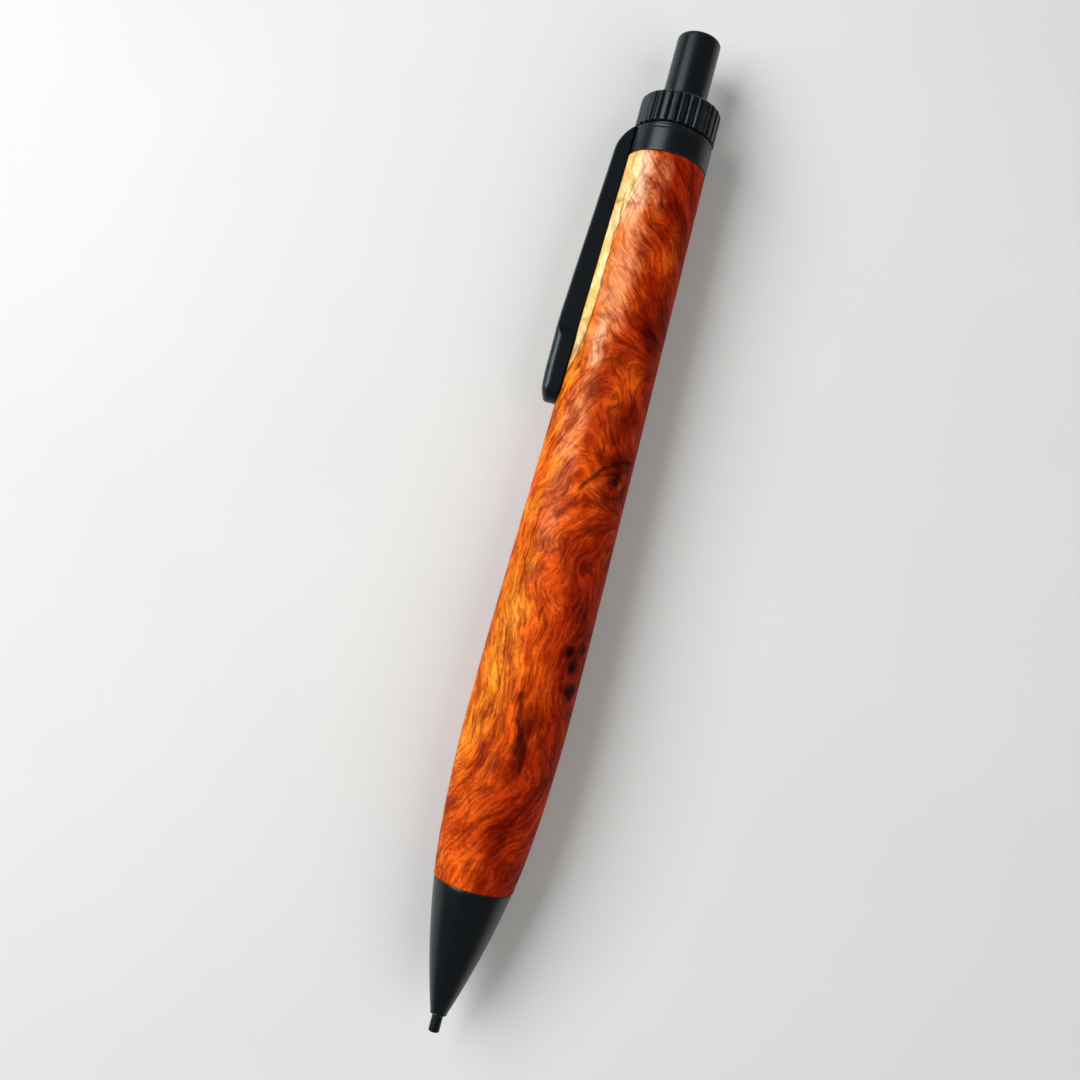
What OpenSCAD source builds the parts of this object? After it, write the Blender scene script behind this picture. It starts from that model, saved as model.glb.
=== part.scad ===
// Push-button mechanical pencil with a turned wooden barrel, in millimetres.
// It lies on its side: +X runs from the writing tip to the push button, and +Y is the side of the clip.
// Each piece is drawn upright along Z, with the writing tip at z = 0, and lay_down() turns it onto +X.

/* [Lengths along the pencil] */
// Lead sleeve standing out of the nose cone
sleeve_reveal = 2.35; // [1.5:0.05:3]
// Nose cone, without its spigot
nose_len = 17.7; // [17:0.1:19]
// Wooden barrel
barrel_len = 102; // [100:0.5:105]
// Smooth collar behind the barrel
collar_len = 3.4; // [2.5:0.1:4]
// Thickness of the clip's ring
clip_ring_t = 0.55; // [0.4:0.05:0.8]
// Knurled ring
knurl_len = 4.85; // [4:0.05:6]
// Push button standing out of the knurled ring
button_reveal = 10.2; // [9:0.1:12]

/* [Outside diameters] */
// Lead sleeve
sleeve_d = 1.5; // [1.4:0.05:1.55]
// Front edge of the nose cone
nose_tip_d = 2.3; // [2.1:0.05:2.6]
// Rear band of the nose cone
nose_band_d = 10.75; // [10.4:0.05:11]
// Wooden barrel where it meets the nose cone
barrel_front_d = 11.1; // [11:0.05:11.6]
// Wooden barrel at its belly
barrel_belly_d = 13.95; // [12.5:0.05:15]
// Wooden barrel where it meets the collar
barrel_rear_d = 11.3; // [11:0.05:11.8]
// Collar and the ring of the clip
collar_d = 11.3; // [11:0.05:11.8]
// Knurled ring
knurl_d = 11.4; // [11:0.05:12]
// Push button
button_d = 6.2; // [6:0.05:6.3]

/* [Knurling] */
// Grooves round the knurled ring
groove_count = 28; // [20:1:36]
// Width of a groove at the surface
groove_w = 0.45; // [0.3:0.05:0.6]
// Depth of a groove
groove_depth = 0.3; // [0.15:0.05:0.4]

/* [Pocket clip] */
// Length from the clip's ring to its free end
clip_len = 40.3; // [36:0.1:42]
// Width of the arm
clip_w = 3.6; // [3:0.1:4.2]
// Width of the paddle at the free end
paddle_w = 4.6; // [4:0.1:5.2]
// Length of the paddle
paddle_len = 10.6; // [9:0.1:12]
// Thickness of the sheet
clip_sheet = 0.45; // [0.35:0.05:0.6]
// Height of the arm's outer face above the axis, at the shoulder
clip_shoulder_y = 7.6; // [7.4:0.05:7.9]
// Height of the arm's outer face above the axis, at its crest
clip_crest_y = 8.85; // [8.7:0.05:9.2]

/* [Mechanism] */
// Diameter of the lead
lead_d = 0.9; // [0.7:0.1:0.9]
// Length of a new lead
lead_len = 60; // [50:1:60]
// How far the push button travels
press_travel = 3.5; // [3:0.1:3.5]
// How far the clutch ring and the lead travel with it
feed_travel = 1; // [0.6:0.05:1]
// Spare leads in the reservoir
spare_count = 3; // [1:1:3]

/* [Hidden] */
$fn = 96;

// Clearances, measured on the radius
glue_gap = 0.02;
thread_gap = 0.03;
slide_gap = 0.05;
// Overshoot of a cutting shape past the face that it cuts
over = 0.1;
// Broken edges of the turned metal parts, fine and coarse
fine_edge = 0.15;
coarse_edge = 0.2;

// Joints between the outer pieces, counted from the writing tip
z_nose = sleeve_reveal;
z_wood = z_nose + nose_len;
z_collar = z_wood + barrel_len;
z_ring = z_collar + collar_len;
z_knurl = z_ring + clip_ring_t;
z_button = z_knurl + knurl_len;
z_end = z_button + button_reveal;

// Brass tube glued into the barrel, and the couplers pressed into it
tube_r = 4.6;
tube_wall = 0.35;
tube_in_r = tube_r - tube_wall;
tube_recess = 0.2;
coupler_r = tube_in_r - glue_gap;
spigot_r = 3.75;
coupler_in_r = spigot_r + thread_gap;
front_coupler_len = 10.7;
nose_spigot_len = 8.5;
rear_spigot_len = 15;
rear_coupler_len = 12.8;
collar_step = 1.15;

// Outline of the wooden barrel as [radius, z]: two cubic curves that meet at the belly, and their handles
wood_edge = 0.3;
wood_front = [barrel_front_d / 2, z_wood + 2 * wood_edge];
wood_front_handle = wood_front + [1.1, 6.85];
wood_belly = [barrel_belly_d / 2, z_wood + 22.75];
wood_belly_handle_front = wood_belly - [0, 4.8];
wood_belly_handle_rear = wood_belly + [0, 9.2];
wood_rear_handle = wood_belly + [-0.16, 19.2];
wood_rear = [barrel_rear_d / 2, z_collar - wood_edge];

// Outline of the nose cone as [radius, z]: one cubic curve up to its rear band, and its handles
nose_band = 0.4;
nose_front = [nose_tip_d / 2, z_nose + coarse_edge];
nose_front_handle = [3.13, z_nose + 6.2];
nose_rear_handle = [nose_band_d / 2 - 0.935, z_wood - 5.9];
nose_rear = [nose_band_d / 2, z_wood - nose_band];

// Mechanism's metal tip inside the nose cone
tip_z = 5.2;
tip_step_z = 9;
tip_flange_z = 15;
tip_end_z = 20;
tip_front_r = 1.5;
tip_r = 2.6;
tip_flange_r = 2.9;
sleeve_socket = 2.05;
sleeve_shank_r = 0.92;
sleeve_shank_z = z_nose - 0.1;
retainer_z = 7.6;
retainer_len = 1.6;
retainer_r = 1.2;
jaw_chamber_r = 1.75;
ring_chamber_r = 2.05;

// Chuck, which stays clear of the retainer at the end of its stroke, with its clutch ring
chuck_z = retainer_z + retainer_len + press_travel + 0.3;
chuck_head_len = 1.2;
chuck_cone_end = 17;
chuck_head_r = 1.6;
chuck_neck_r = 1.2;
chuck_tail_z = 26;
chuck_end_z = 38;
chuck_tail_r = 1.75;
chuck_slot = 0.3;
chuck_slot_end = 20;
grip_len = 2.5;
clutch_z = 15;
clutch_len = 3;
clutch_r = 1.95;
clutch_bore_r = 1.4;
clutch_mouth_r = 1.53;
clutch_mouth_len = 0.9;

// Mechanism sleeve, with the spring's front seat inside it
sleeve_front_z = clutch_z + clutch_len + slide_gap;
sleeve_seat_z = 21.5;
sleeve_end_z = 62;
mech_r = 2.85;
mech_in_r = 2.4;

// Reservoir tube; its front end is the spring's rear seat
reservoir_z = 33;
reservoir_end_z = 119;
reservoir_r = 2.3;
reservoir_in_r = 1.8;

// Return spring at rest
spring_wire = 0.4;
spring_r = 2.12;
spring_turns = 8;
spring_steps = 16;
wire_facets = 6;

// Button, eraser holder and eraser
button_z = 118;
button_round = 0.6;
button_top = 1.2;
button_eraser_gap = 0.2;
button_r = button_d / 2;
cup_z = 121;
cup_rim_z = 128.55;
cup_r = 2.65;
cup_floor = 1;
eraser_r = 2.25;
eraser_z = cup_z + cup_floor + slide_gap;
eraser_end_z = 135.5;
eraser_round = 0.4;
stem_len = 6;
loading_r = 1.2;

// Lead
lead_r = lead_d / 2;
lead_bore_r = lead_r + 0.05;
lead_grip_r = lead_r + 0.01;
lead_z = 0.4;
lead_end_z = 52;
spare_orbit_r = 1.25;

// Clip: the arm turns about the pivot where the real sheet bends
pivot_r = 0.3;
pivot_y = 6;
pivot_z = z_knurl - pivot_r;
clip_end_z = z_knurl - clip_len;
paddle_z = clip_end_z + paddle_len;
shoulder_z = z_collar + 0.2;
web_y = 5.75;
flange_y0 = 5.57;
flange_y1 = 6.26;
toe = 0.35;
wood_gap = 0.06;
crown_r = 3.2;
crown_rise = 0.6;
crown_run = 1.5;
dimple_r = 1.2;
dimple_z = clip_end_z + 5.3;

// Knurled ring: its rounded rear edge, and the undercut between it and the clip
knurl_round = 0.6;
undercut_depth = 0.45;
undercut_z0 = z_knurl + 0.25;
undercut_z1 = z_knurl + 0.45;

// ---------- shared shapes ----------

module lay_down() {
    rotate([0, 90, 0]) children();
}

// A round bar from z0 to z1
module bar(z0, z1, r) {
    translate([0, 0, z0]) cylinder(h = z1 - z0, r = r);
}

// A bore from z0 to z1, running past an end where over0 or over1 is set
module bore(z0, z1, r, over0 = 0, over1 = 0) {
    bar(z0 - over0, z1 + over1, r);
}

module tube(z0, z1, r_out, r_in) {
    difference() {
        bar(z0, z1, r_out);
        bore(z0, z1, r_in, over, over);
    }
}

// A turned solid whose outline is a list of [radius, z], closed along the axis
module turned(outline) {
    z_first = outline[0][1];
    z_last = outline[len(outline) - 1][1];
    rotate_extrude() polygon(concat([[0, z_first]], outline, [[0, z_last]]));
}

// Points on a cubic curve through a and d with handles b and c
function curve(a, b, c, d, n) = [
    for (i = [0 : n])
    let (t = i / n, s = 1 - t)
    s * s * s * a + 3 * s * s * t * b + 3 * s * t * t * c + t * t * t * d
];

// Points on an arc in the plane, from angle a0 to angle a1
function arc(centre, r, a0, a1, n) = [
    for (i = [0 : n])
    let (a = a0 + (a1 - a0) * i / n)
    centre + r * [cos(a), sin(a)]
];

// ---------- barrel ----------

// The last point of the tip side is the first of the button side, so it is left out once
function barrel_outline() = concat(
    arc([wood_front[0] - wood_edge, z_wood + wood_edge], wood_edge, -90, 0, 4),
    curve(wood_front, wood_front_handle, wood_belly_handle_front, wood_belly, 12),
    [
        for (i = [1 : 16])
        curve(wood_belly, wood_belly_handle_rear, wood_rear_handle, wood_rear, 16)[i]
    ],
    arc([wood_rear[0] - wood_edge, wood_rear[1]], wood_edge, 10, 90, 3)
);

module wood_barrel() {
    color("chocolate") lay_down() difference() {
        turned(barrel_outline());
        bore(z_wood, z_collar, tube_r + glue_gap, over, over);
    }
}

module barrel_tube() {
    color("goldenrod") lay_down()
        tube(z_wood + tube_recess, z_collar - tube_recess, tube_r, tube_in_r);
}

module front_coupler() {
    z0 = z_wood + tube_recess;
    color("gold") lay_down() tube(z0, z0 + front_coupler_len, coupler_r, coupler_in_r);
}

module rear_coupler() {
    z1 = z_collar - collar_step - slide_gap;
    color("gold") lay_down() tube(z1 - rear_coupler_len, z1, coupler_r, coupler_in_r);
}

// ---------- nose ----------

module nose_cone() {
    outline = concat(
        arc([nose_front[0] - fine_edge, z_nose + fine_edge], fine_edge, -90, -20, 3),
        curve(nose_front, nose_front_handle, nose_rear_handle, nose_rear, 16),
        [[nose_rear[0], z_wood]]
    );
    color("dimgray") lay_down() difference() {
        union() {
            turned(outline);
            bar(z_wood - over, z_wood + nose_spigot_len, spigot_r);
        }
        bore(z_nose, tip_z, sleeve_shank_r + slide_gap, over, over);
        bore(tip_z - slide_gap, tip_step_z, tip_front_r + thread_gap, 0, over);
        bore(tip_step_z - slide_gap, tip_flange_z, tip_r + thread_gap, 0, over);
        bore(tip_flange_z - slide_gap, z_wood + nose_spigot_len, tip_flange_r + thread_gap, 0, over);
    }
}

module mechanism_tip() {
    color("silver") lay_down() difference() {
        union() {
            bar(tip_z, tip_step_z + over, tip_front_r);
            bar(tip_step_z, tip_flange_z + over, tip_r);
            bar(tip_flange_z, tip_end_z, tip_flange_r);
        }
        bore(tip_z, tip_z + sleeve_socket, sleeve_shank_r + glue_gap, over);
        bore(tip_z + sleeve_socket, retainer_z, lead_bore_r, over, over);
        bore(retainer_z, retainer_z + retainer_len, retainer_r, 0, over);
        bore(retainer_z + retainer_len, clutch_z - feed_travel, jaw_chamber_r, 0, over);
        bore(clutch_z - feed_travel - slide_gap, tip_end_z, ring_chamber_r, 0, over);
    }
}

// The shank behind the slim stretch fills the nose cone's mouth, and is pressed into the mechanism's tip
module lead_sleeve() {
    shank_end = tip_z + sleeve_socket - glue_gap;
    color("dimgray") lay_down() difference() {
        union() {
            bar(0, sleeve_shank_z + over, sleeve_d / 2);
            bar(sleeve_shank_z, shank_end, sleeve_shank_r);
        }
        bore(0, shank_end, lead_bore_r, over, over);
    }
}

module lead_retainer() {
    color("black") lay_down()
        tube(retainer_z + glue_gap, retainer_z + retainer_len, retainer_r - glue_gap, lead_grip_r);
}

// ---------- lead and its drive ----------

module lead() {
    color("darkslategray") lay_down() bar(lead_z, lead_end_z, lead_r);
}

module spare_leads() {
    z0 = chuck_end_z + 1;
    color("darkslategray") lay_down()
        for (i = [0 : spare_count - 1])
            rotate([0, 0, 360 * i / spare_count + 30])
                translate([spare_orbit_r, 0, 0]) bar(z0, z0 + lead_len, lead_r);
}

module chuck() {
    outline = [
        [chuck_head_r - coarse_edge, chuck_z],
        [chuck_head_r, chuck_z + coarse_edge],
        [chuck_head_r, chuck_z + chuck_head_len],
        [chuck_neck_r, chuck_cone_end],
        [chuck_neck_r, chuck_tail_z],
        [chuck_tail_r, chuck_tail_z],
        [chuck_tail_r, chuck_end_z]
    ];
    color("gold") lay_down() difference() {
        turned(outline);
        bore(chuck_z, chuck_z + grip_len, lead_grip_r, over, over);
        bore(chuck_z + grip_len, chuck_end_z, lead_bore_r, 0, over);
        for (i = [0 : 2])
            rotate([0, 0, 120 * i])
                translate([0, -chuck_slot / 2, chuck_z - over])
                    cube([chuck_head_r + over, chuck_slot, chuck_slot_end - chuck_z + over]);
    }
}

module clutch_ring() {
    flare = (clutch_mouth_r - clutch_bore_r) * over / clutch_mouth_len;
    mouth = [
        [0, clutch_z - over],
        [clutch_mouth_r + flare, clutch_z - over],
        [clutch_bore_r, clutch_z + clutch_mouth_len],
        [0, clutch_z + clutch_mouth_len]
    ];
    color("gold") lay_down() difference() {
        bar(clutch_z, clutch_z + clutch_len, clutch_r);
        bore(clutch_z, clutch_z + clutch_len, clutch_bore_r, over, over);
        rotate_extrude() polygon(mouth);
    }
}

module mechanism_sleeve() {
    color("lightgray") lay_down() difference() {
        union() {
            bar(sleeve_front_z, tip_end_z + over, ring_chamber_r - thread_gap);
            bar(tip_end_z, sleeve_end_z, mech_r);
        }
        bore(sleeve_front_z, sleeve_seat_z, chuck_neck_r + 2 * slide_gap, over, over);
        bore(sleeve_seat_z, sleeve_end_z, mech_in_r, 0, over);
    }
}

module reservoir_tube() {
    color("whitesmoke") lay_down()
        tube(reservoir_z, reservoir_end_z, reservoir_r, reservoir_in_r);
}

// One closed turn at each end, and the open turns spread evenly between them
function spring_z(turn) =
    let (
        closed = spring_wire * 1.05,
        low = sleeve_seat_z + slide_gap + spring_wire / 2,
        high = reservoir_z - slide_gap - spring_wire / 2,
        open = (high - low - 2 * closed) / (spring_turns - 2)
    )
    turn < 1 ? low + closed * turn
    : turn > spring_turns - 1 ? high - closed * (spring_turns - turn)
    : low + closed + open * (turn - 1);

module chuck_spring() {
    rings = spring_turns * spring_steps;
    points = [
        for (i = [0 : rings], k = [0 : wire_facets - 1])
        let (
            turn = i / spring_steps,
            around = 360 * k / wire_facets,
            r = spring_r + spring_wire / 2 * cos(around)
        )
        [r * cos(360 * turn), r * sin(360 * turn), spring_z(turn) + spring_wire / 2 * sin(around)]
    ];
    sides = [
        for (i = [0 : rings - 1], k = [0 : wire_facets - 1])
        let (next = (k + 1) % wire_facets, a = i * wire_facets, b = a + wire_facets)
        [a + k, b + k, b + next, a + next]
    ];
    front = [for (k = [0 : wire_facets - 1]) k];
    back = [for (k = [wire_facets - 1 : -1 : 0]) rings * wire_facets + k];
    color("silver") lay_down() polyhedron(points, concat([front], sides, [back]));
}

// ---------- button end ----------

module collar() {
    outline = [
        [tube_in_r - thread_gap, z_collar - collar_step],
        [tube_in_r - thread_gap, z_collar],
        [collar_d / 2 - fine_edge, z_collar],
        [collar_d / 2, z_collar + fine_edge],
        [collar_d / 2, z_ring - coarse_edge],
        [collar_d / 2 - coarse_edge, z_ring]
    ];
    color("dimgray") lay_down() difference() {
        turned(outline);
        bore(z_collar - collar_step, z_ring, spigot_r + slide_gap, over, over);
    }
}

module knurled_ring() {
    r = knurl_d / 2;
    outline = concat(
        [
            [spigot_r, z_knurl - rear_spigot_len],
            [spigot_r, z_knurl],
            [r - undercut_depth, z_knurl],
            [r - undercut_depth, undercut_z0],
            [r, undercut_z1]
        ],
        arc([r - knurl_round, z_button - knurl_round], knurl_round, 0, 90, 5)
    );
    groove = [[r - groove_depth, 0], [r + over, -groove_w * 0.7], [r + over, groove_w * 0.7]];
    color("dimgray") lay_down() difference() {
        turned(outline);
        bore(z_knurl - rear_spigot_len, z_button, button_r + slide_gap, over, over);
        for (i = [0 : groove_count - 1])
            rotate([0, 0, 360 * (i + 0.5) / groove_count])
                translate([0, 0, z_knurl]) linear_extrude(height = knurl_len + over) polygon(groove);
    }
}

module push_button() {
    outline = concat(
        [[button_r - fine_edge, button_z], [button_r, button_z + fine_edge]],
        arc([button_r - button_round, z_end - button_round], button_round, 0, 90, 8)
    );
    color("dimgray") lay_down() difference() {
        turned(outline);
        bore(button_z, cup_rim_z + slide_gap, cup_r + slide_gap, over);
        bore(cup_rim_z, z_end - button_top, eraser_r + button_eraser_gap);
    }
}

module eraser() {
    outline = concat(
        [[eraser_r, eraser_z]],
        arc([eraser_r - eraser_round, eraser_end_z - eraser_round], eraser_round, 0, 90, 6)
    );
    color("white") lay_down() turned(outline);
}

module eraser_holder() {
    color("gold") lay_down() difference() {
        union() {
            bar(reservoir_end_z - stem_len, reservoir_end_z + over, reservoir_in_r - glue_gap);
            bar(reservoir_end_z, cup_z + over, reservoir_r);
            bar(cup_z, cup_rim_z, cup_r);
        }
        bore(reservoir_end_z - stem_len, cup_z + cup_floor, loading_r, over, over);
        bore(cup_z + cup_floor, cup_rim_z, eraser_r + slide_gap, 0, over);
    }
}

// ---------- clip ----------

// The tab's end is hollowed round the pivot, so the arm can turn past it
module clip_ring() {
    color("dimgray") lay_down() difference() {
        translate([0, 0, z_ring]) linear_extrude(height = clip_ring_t) union() {
            circle(r = collar_d / 2 - slide_gap);
            translate([-clip_w / 2, 0]) square([clip_w, pivot_y]);
        }
        bore(z_ring, z_knurl, spigot_r + slide_gap, over, over);
        translate([-clip_w, pivot_y, pivot_z]) rotate([0, 90, 0])
            cylinder(h = 2 * clip_w, r = pivot_r + slide_gap);
    }
}

// Outer face of the arm from the pivot round the shoulder to the free end, as [y, z]
function arm_face() = concat(
    arc([pivot_y, pivot_z], pivot_r, 235, 45, 16),
    curve(
        [pivot_y + 0.4, pivot_z + 0.05],
        [clip_shoulder_y - 0.5, pivot_z - 0.8],
        [clip_shoulder_y, shoulder_z + 1.5],
        [clip_shoulder_y, shoulder_z],
        10
    ),
    [[clip_crest_y, paddle_z + 1]],
    curve(
        [clip_crest_y, paddle_z],
        [clip_crest_y, clip_end_z + 3],
        [clip_crest_y - 0.1, clip_end_z],
        [clip_crest_y - 0.9, clip_end_z],
        10
    )
);

// Draws a [y, z] outline as a slab of the given width across X
module across(outline, width) {
    rotate([90, 0, 90]) translate([0, 0, -width / 2]) linear_extrude(height = width) polygon(outline);
}

module clip_arm() {
    side = concat(
        arm_face(),
        [
            [flange_y1, clip_end_z + toe],
            [flange_y0, shoulder_z - 1.2],
            [web_y, shoulder_z - 1],
            [web_y, z_ring - 0.3]
        ]
    );
    // Hollow of the channel, one sheet thickness below the outer face
    hollow = concat(
        [[0, shoulder_z - 1], [clip_shoulder_y - clip_sheet, shoulder_z - 1]],
        [[clip_crest_y - clip_sheet, paddle_z + 1]],
        curve(
            [clip_crest_y - clip_sheet, paddle_z],
            [clip_crest_y - clip_sheet, clip_end_z + 4],
            [clip_crest_y - 0.7, clip_end_z + 1],
            [clip_crest_y - 1.3, clip_end_z + 2 * clip_sheet],
            8
        ),
        [[0, clip_end_z + 2 * clip_sheet]]
    );
    color("dimgray") lay_down() union() {
        difference() {
            union() {
                intersection() {
                    across(side, clip_w);
                    translate([-clip_w, 0, paddle_z]) cube([2 * clip_w, 2 * clip_w + 2, clip_len]);
                }
                intersection() {
                    across(side, paddle_w);
                    paddle_outline();
                    paddle_crown();
                }
            }
            across(hollow, clip_w - 2 * clip_sheet);
            wood_clearance();
        }
        translate([0, dimple_y(), dimple_z]) sphere(r = dimple_r, $fn = 48);
    }
}

// The wood under the arm, with the gap that is left round it
module wood_clearance() {
    z0 = clip_end_z - over;
    z1 = shoulder_z - 1;
    translate([0, 0, z0]) cylinder(h = z1 - z0, r1 = barrel_r(z0) + wood_gap, r2 = barrel_r(z1) + wood_gap);
}

// The paddle's outer face is rounded across, and runs out flat where it meets the arm
module paddle_crown() {
    crown_y = clip_crest_y - crown_r;
    crown_z = paddle_z - crown_run;
    translate([0, crown_y, clip_end_z - over]) cylinder(h = crown_z - clip_end_z + over, r = crown_r);
    hull() {
        translate([0, crown_y, crown_z]) cylinder(h = over, r = crown_r);
        translate([0, crown_y + crown_rise, paddle_z]) cylinder(h = over, r = crown_r);
    }
}

// Outline of the paddle seen from above, as a block cut to it
module paddle_outline() {
    r = paddle_w / 2;
    outline = concat(
        arc([0, clip_end_z + r], r, 180, 360, 16),
        [[r, paddle_z - 1.2], [clip_w / 2, paddle_z], [-clip_w / 2, paddle_z], [-r, paddle_z - 1.2]]
    );
    rotate([90, 0, 0]) translate([0, 0, -2 * clip_crest_y])
        linear_extrude(height = 2 * clip_crest_y) polygon(outline);
}

// The dimple stands one sliding gap off the wood below it
function dimple_y() = barrel_r(dimple_z) + slide_gap + dimple_r;

// Radius of the barrel at a height on its button side, where the outline runs close to its last handle
function barrel_r(z) =
    let (a = wood_rear_handle, b = wood_rear)
    a[0] + (b[0] - a[0]) * (z - a[1]) / (b[1] - a[1]);

wood_barrel();
barrel_tube();
front_coupler();
rear_coupler();
nose_cone();
collar();
clip_ring();
clip_arm();
knurled_ring();
push_button();
eraser();
eraser_holder();
reservoir_tube();
chuck();
clutch_ring();
chuck_spring();
mechanism_sleeve();
mechanism_tip();
lead_sleeve();
lead_retainer();
lead();
spare_leads();
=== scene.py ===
import math

import bmesh
import bpy
import numpy as np
from mathutils import Matrix, Vector


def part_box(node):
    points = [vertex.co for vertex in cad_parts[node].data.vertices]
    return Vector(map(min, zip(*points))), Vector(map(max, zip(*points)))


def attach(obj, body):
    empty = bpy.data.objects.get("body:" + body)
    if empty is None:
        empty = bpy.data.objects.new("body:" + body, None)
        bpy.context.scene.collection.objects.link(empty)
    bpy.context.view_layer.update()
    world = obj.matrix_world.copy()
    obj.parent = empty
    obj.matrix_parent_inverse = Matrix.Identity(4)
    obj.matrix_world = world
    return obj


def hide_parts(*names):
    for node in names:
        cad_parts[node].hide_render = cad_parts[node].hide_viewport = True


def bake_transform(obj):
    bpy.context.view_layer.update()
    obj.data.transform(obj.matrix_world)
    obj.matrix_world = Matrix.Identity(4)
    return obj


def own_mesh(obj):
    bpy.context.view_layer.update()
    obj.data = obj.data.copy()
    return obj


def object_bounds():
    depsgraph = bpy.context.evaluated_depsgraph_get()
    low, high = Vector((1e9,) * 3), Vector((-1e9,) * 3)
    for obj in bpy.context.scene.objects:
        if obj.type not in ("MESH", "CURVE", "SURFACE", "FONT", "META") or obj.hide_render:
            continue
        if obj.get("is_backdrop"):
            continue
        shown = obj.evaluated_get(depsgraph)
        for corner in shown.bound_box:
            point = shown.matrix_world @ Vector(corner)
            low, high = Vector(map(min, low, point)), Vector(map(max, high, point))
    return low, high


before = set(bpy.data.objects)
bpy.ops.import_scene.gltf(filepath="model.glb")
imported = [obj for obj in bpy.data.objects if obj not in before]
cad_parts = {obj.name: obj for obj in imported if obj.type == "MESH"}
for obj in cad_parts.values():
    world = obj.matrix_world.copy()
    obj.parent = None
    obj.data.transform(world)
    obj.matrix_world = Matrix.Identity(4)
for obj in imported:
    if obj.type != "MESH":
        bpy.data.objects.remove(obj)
cad_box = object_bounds()

# Every length below is in millimetres, and MM turns it into the frame's metres.
MM = 0.001
TURN = 2 * math.pi


# ---------- places, from the frame ----------

def ends(node):
    """First and last station of a CAD node along the pencil."""
    low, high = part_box(node)
    return low.x / MM, high.x / MM


def outer_r(node):
    """Largest radius of a CAD node that is turned about the pencil's axis."""
    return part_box(node)[1].z / MM


wood_x0, wood_x1 = ends("wood_barrel")
belly_r = outer_r("wood_barrel")
collar_x1 = ends("collar")[1]
collar_r = outer_r("collar")
ring_x0, ring_x1 = ends("clip_ring")
knurl_x0 = ring_x1
spigot_x0, knurl_x1 = ends("knurled_ring")
knurl_r = outer_r("knurled_ring")
button_x0, button_x1 = ends("push_button")
button_r = outer_r("push_button")
nose_x1 = ends("nose_cone")[1]
clip_x0 = ends("clip_arm")[0]
paddle_half = outer_r("clip_arm")

# ---------- sizes that the boxes don't give ----------

WOOD_END_R = 5.55
WOOD_REAR_R = 5.65
WOOD_BORE_R = 4.62
WOOD_EDGE = 0.3
NOSE_TIP_R = 1.15
NOSE_BAND_R = 5.375
NOSE_BAND = 0.4
NOSE_FRONT = 2.35
NOSE_HANDLES = (NOSE_FRONT + 6.2, 3.13), (wood_x0 - 5.9, NOSE_BAND_R - 0.935)
SPIGOT_R = 3.75
SLEEVE_R = 0.75
LEAD_R = 0.45
CLIP_HALF = 1.8
CLIP_SHEET = 0.42
GROOVES = 28
GROOVE_HALF = 0.25
GROOVE_DEPTH = 0.3
GROOVE_STEPS = 20
THREAD_PITCH = 0.75
THREAD_DEPTH = 0.32


# ---------- meshes ----------

def smooth(t):
    t = np.clip(t, 0, 1)
    return t * t * (3 - 2 * t)


def cubic(a, b, c, d, count):
    """Points on a cubic curve through a and d with handles b and c."""
    t = np.linspace(0, 1, count + 1)[:, None]
    s = 1 - t
    a, b, c, d = (np.array(p, float) for p in (a, b, c, d))
    return s ** 3 * a + 3 * s * s * t * b + 3 * s * t * t * c + t ** 3 * d


def soften(corners, arc=5, guard=0.07):
    """Rounds the corners (x, r, fillet) of a closed outline.

    Gives (x, r, rim), where rim is 1 in the middle of a rounded edge and 0 elsewhere.
    """
    out = []
    for k, (x, r, fillet) in enumerate(corners):
        here = Vector((x, r))
        if fillet == 0:
            out.append((x, r, 0))
            continue
        to_last = (Vector(corners[k - 1][:2]) - here).normalized()
        to_next = (Vector(corners[(k + 1) % len(corners)][:2]) - here).normalized()
        half = to_last.angle(to_next) / 2
        centre = here + (to_last + to_next).normalized() * (fillet / math.sin(half))
        reach = fillet / math.tan(half)
        first = here + to_last * reach
        last = here + to_next * reach
        out.append((*(first + to_last * guard), 0))
        for i in range(arc + 1):
            spoke = (first - centre).normalized().slerp((last - centre).normalized(), i / arc)
            out.append((*(centre + spoke * fillet), math.sin(math.pi * (i + 1) / (arc + 2))))
        out.append((*(last + to_next * guard), 0))
    return out


def set_values(mesh, values):
    """Stores named numbers or vectors at a mesh's points, for its material to read."""
    for key, value in values.items():
        value = np.asarray(value, np.float32)
        kind, field = ("FLOAT", "value") if value.ndim == 1 else ("FLOAT_VECTOR", "vector")
        mesh.attributes.new(key, kind, "POINT").data.foreach_set(field, value.ravel())


def make_piece(name, points, faces, values=None, sharp=38):
    """A mesh from points in mm, with named values at its points."""
    mesh = bpy.data.meshes.new(name)
    mesh.from_pydata((np.asarray(points) * MM).tolist(), [], faces)
    set_values(mesh, values or {})
    clean = bmesh.new()
    clean.from_mesh(mesh)
    bmesh.ops.remove_doubles(clean, verts=clean.verts, dist=1e-8)
    bmesh.ops.recalc_face_normals(clean, faces=clean.faces)
    clean.to_mesh(mesh)
    clean.free()
    mesh.shade_smooth()
    mesh.set_sharp_from_angle(angle=math.radians(sharp))
    piece = bpy.data.objects.new(name, mesh)
    bpy.context.scene.collection.objects.link(piece)
    return piece


def grid_faces(rows, columns, wrap_rows=False, wrap_columns=False):
    """Quads between neighbouring points of a grid that is stored row by row."""
    i, j = np.meshgrid(
        np.arange(rows if wrap_rows else rows - 1),
        np.arange(columns if wrap_columns else columns - 1),
        indexing="ij",
    )
    up, right = (i + 1) % rows, (j + 1) % columns
    quads = [i * columns + j, i * columns + right, up * columns + right, up * columns + j]
    return np.stack(quads, -1).reshape(-1, 4).tolist()


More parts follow.
